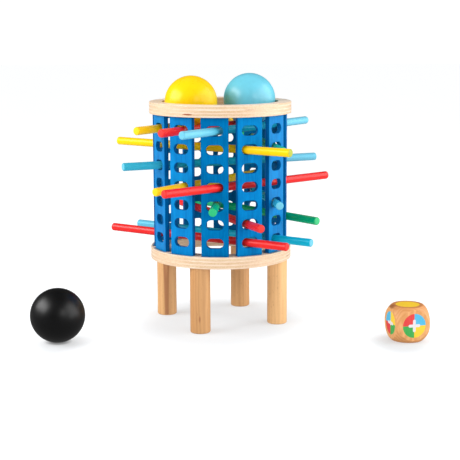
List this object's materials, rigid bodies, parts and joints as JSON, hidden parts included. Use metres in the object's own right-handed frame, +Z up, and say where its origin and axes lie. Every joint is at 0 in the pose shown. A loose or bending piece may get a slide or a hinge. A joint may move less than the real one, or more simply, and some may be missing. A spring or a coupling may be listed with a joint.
{
  "type": "marble drop stick game",
  "caption": "Wooden drop game: a round tower of slotted laths between rings, on legs, with coloured sticks through the slots that hold up wooden balls, and a colour die",
  "frame": {"origin": "on the table top, on the tower's axis", "axes": "+Z up along the tower's axis, -Y towards the front stave, +X to the right seen from the front"},
  "size_m": [0.2936, 0.2173, 0.1934],
  "materials": {
    "plywood": "birch plywood, sanded and clear lacquered, with its layers showing on the edge",
    "blue_stain": "wood stained strong blue, the grain faintly seen",
    "beech": "turned beech, clear lacquered",
    "yellow_paint": "satin yellow paint on wood",
    "red_paint": "satin red paint on wood",
    "light_blue_paint": "satin light blue paint on wood",
    "green_paint": "satin green paint on wood",
    "yellow_lacquer": "glossy yellow lacquer on a turned wooden ball",
    "light_blue_lacquer": "glossy light blue lacquer on a turned wooden ball",
    "black_lacquer": "satin black lacquer on a turned wooden ball",
    "die_wood": "bare wood with printed colour discs on its faces"
  },
  "bodies": {
    "tower": {"top_ring": "plywood", "base_ring": "plywood", "leg_1": "beech", "leg_2": "beech", "leg_3": "beech", "leg_4": "beech", "stave_01": "blue_stain", "stave_02": "blue_stain", "stave_03": "blue_stain", "stave_04": "blue_stain", "stave_05": "blue_stain", "stave_06": "blue_stain", "stave_07": "blue_stain", "stave_08": "blue_stain", "stave_09": "blue_stain", "stave_10": "blue_stain", "stave_11": "blue_stain", "stave_12": "blue_stain"},
    "yellow_stick_1": {"yellow_stick_1": "yellow_paint"},
    "red_stick_1": {"red_stick_1": "red_paint"},
    "light_blue_stick_1": {"light_blue_stick_1": "light_blue_paint"},
    "yellow_stick_2": {"yellow_stick_2": "yellow_paint"},
    "green_stick_1": {"green_stick_1": "green_paint"},
    "light_blue_stick_2": {"light_blue_stick_2": "light_blue_paint"},
    "yellow_stick_3": {"yellow_stick_3": "yellow_paint"},
    "red_stick_2": {"red_stick_2": "red_paint"},
    "green_stick_2": {"green_stick_2": "green_paint"},
    "light_blue_stick_3": {"light_blue_stick_3": "light_blue_paint"},
    "green_stick_3": {"green_stick_3": "green_paint"},
    "red_stick_3": {"red_stick_3": "red_paint"},
    "light_blue_stick_4": {"light_blue_stick_4": "light_blue_paint"},
    "red_stick_4": {"red_stick_4": "red_paint"},
    "yellow_ball": {"yellow_ball": "yellow_lacquer"},
    "light_blue_ball": {"light_blue_ball": "light_blue_lacquer"},
    "black_ball": {"black_ball": "black_lacquer"},
    "die": {"die": "die_wood"}
  },
  "joints": [
    {"name": "yellow_stick_1_pull", "type": "slide", "parent": "tower", "child": "yellow_stick_1", "axis": [-0.5, -0.866, 0], "range_m": [0, 0.142]},
    {"name": "red_stick_1_pull", "type": "slide", "parent": "tower", "child": "red_stick_1", "axis": [-0.513, -0.8584, 0], "range_m": [0, 0.143]},
    {"name": "light_blue_stick_1_pull", "type": "slide", "parent": "tower", "child": "light_blue_stick_1", "axis": [-0.5217, -0.8531, 0], "range_m": [0, 0.1335]},
    {"name": "yellow_stick_2_pull", "type": "slide", "parent": "tower", "child": "yellow_stick_2", "axis": [0.8505, -0.5259, 0], "range_m": [0, 0.132]},
    {"name": "green_stick_1_pull", "type": "slide", "parent": "tower", "child": "green_stick_1", "axis": [-0.2588, 0.9659, 0], "range_m": [0, 0.1075]},
    {"name": "light_blue_stick_2_pull", "type": "slide", "parent": "tower", "child": "light_blue_stick_2", "axis": [-0.8735, -0.4869, 0], "range_m": [0, 0.1385]},
    {"name": "yellow_stick_3_pull", "type": "slide", "parent": "tower", "child": "yellow_stick_3", "axis": [-0.5, -0.866, 0], "range_m": [0, 0.1345]},
    {"name": "red_stick_2_pull", "type": "slide", "parent": "tower", "child": "red_stick_2", "axis": [0.7071, 0.7071, 0], "range_m": [0, 0.1265]},
    {"name": "green_stick_2_pull", "type": "slide", "parent": "tower", "child": "green_stick_2", "axis": [0.0101, -0.9999, 0], "range_m": [0, 0.141]},
    {"name": "light_blue_stick_3_pull", "type": "slide", "parent": "tower", "child": "light_blue_stick_3", "axis": [0.2588, -0.9659, 0], "range_m": [0, 0.1535]},
    {"name": "green_stick_3_pull", "type": "slide", "parent": "tower", "child": "green_stick_3", "axis": [0.7071, -0.7071, 0], "range_m": [0, 0.1355]},
    {"name": "red_stick_3_pull", "type": "slide", "parent": "tower", "child": "red_stick_3", "axis": [0.4956, -0.8685, 0], "range_m": [0, 0.1465]},
    {"name": "light_blue_stick_4_pull", "type": "slide", "parent": "tower", "child": "light_blue_stick_4", "axis": [0.8685, -0.4956, 0], "range_m": [0, 0.136]},
    {"name": "red_stick_4_pull", "type": "slide", "parent": "tower", "child": "red_stick_4", "axis": [0.871, -0.4913, 0], "range_m": [0, 0.138]},
    {"name": "yellow_ball_lift", "type": "slide", "parent": "tower", "child": "yellow_ball", "axis": [0, 0, 1], "range_m": [0, 0.045]},
    {"name": "light_blue_ball_lift", "type": "slide", "parent": "tower", "child": "light_blue_ball", "axis": [0, 0, 1], "range_m": [0, 0.045]},
    {"name": "black_ball_lift", "type": "slide", "parent": "tower", "child": "black_ball", "axis": [0, 0, 1], "range_m": [0, 0.05]},
    {"name": "die_lift", "type": "slide", "parent": "tower", "child": "die", "axis": [0, 0, 1], "range_m": [0, 0.05]}
  ]
}
